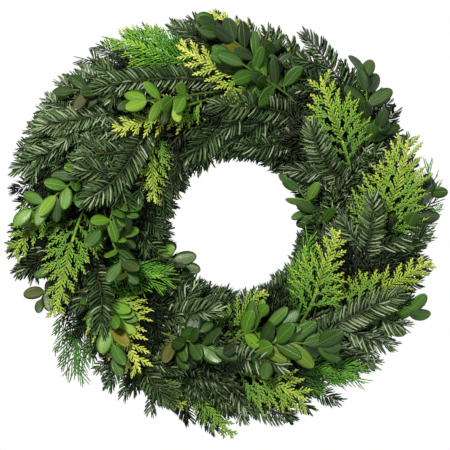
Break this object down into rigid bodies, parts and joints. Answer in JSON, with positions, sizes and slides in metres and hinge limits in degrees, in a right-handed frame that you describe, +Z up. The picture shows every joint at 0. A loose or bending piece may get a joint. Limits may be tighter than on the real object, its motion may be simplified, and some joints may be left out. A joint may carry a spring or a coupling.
{
  "type": "fresh evergreen wreath",
  "caption": "Round wreath of mixed fir, cypress and boxwood cuttings clamped in overlapping bundles on a wire ring, lying on its back with its face up.",
  "frame": {"origin": "middle of the wreath, on the surface it lies on", "axes": "+Z up out of the wreath's face, +Y towards the top of the wreath as it is seen, +X to its right"},
  "size_m": [0.3301, 0.3333, 0.0695],
  "materials": {
    "ring_wire": "dark green enamelled steel wire, satin",
    "fir": "dark blue-green needles with a pale bloom beneath, satin",
    "golden_cypress": "flat scale foliage, green at the rib and yellow at the tips, matt",
    "green_cypress": "flat scale foliage, fresh green, matt",
    "boxwood": "small oval leaves with a waxy gloss and a pale midrib"
  },
  "bodies": {
    "root": {"clamp_ring": "ring_wire", "boxwood_sprig_01": "boxwood", "boxwood_sprig_02": "boxwood", "boxwood_sprig_03": "boxwood", "boxwood_sprig_04": "boxwood", "boxwood_sprig_05": "boxwood", "boxwood_sprig_06": "boxwood", "boxwood_sprig_07": "boxwood", "boxwood_sprig_08": "boxwood", "boxwood_sprig_09": "boxwood", "boxwood_sprig_10": "boxwood", "boxwood_sprig_11": "boxwood", "boxwood_sprig_12": "boxwood", "boxwood_sprig_13": "boxwood", "boxwood_sprig_14": "boxwood", "boxwood_sprig_15": "boxwood", "boxwood_sprig_16": "boxwood", "boxwood_sprig_17": "boxwood", "fir_spray_01": "fir", "fir_spray_02": "fir", "fir_spray_03": "fir", "fir_spray_04": "fir", "fir_spray_05": "fir", "fir_spray_06": "fir", "fir_spray_07": "fir", "fir_spray_08": "fir", "fir_spray_09": "fir", "fir_spray_10": "fir", "fir_spray_11": "fir", "fir_spray_12": "fir", "fir_spray_13": "fir", "fir_spray_14": "fir", "fir_spray_15": "fir", "fir_spray_16": "fir", "fir_spray_17": "fir", "fir_spray_18": "fir", "fir_spray_19": "fir", "fir_spray_20": "fir", "fir_spray_21": "fir", "golden_cypress_01": "golden_cypress", "golden_cypress_02": "golden_cypress", "golden_cypress_03": "golden_cypress", "golden_cypress_04": "golden_cypress", "golden_cypress_05": "golden_cypress", "golden_cypress_06": "golden_cypress", "golden_cypress_07": "golden_cypress", "golden_cypress_08": "golden_cypress", "golden_cypress_09": "golden_cypress", "golden_cypress_10": "golden_cypress", "golden_cypress_11": "golden_cypress", "golden_cypress_12": "golden_cypress", "golden_cypress_13": "golden_cypress", "golden_cypress_14": "golden_cypress", "golden_cypress_15": "golden_cypress", "green_cypress_01": "green_cypress", "green_cypress_02": "green_cypress", "green_cypress_03": "green_cypress", "green_cypress_04": "green_cypress", "green_cypress_05": "green_cypress", "green_cypress_06": "green_cypress"}
  },
  "joints": []
}
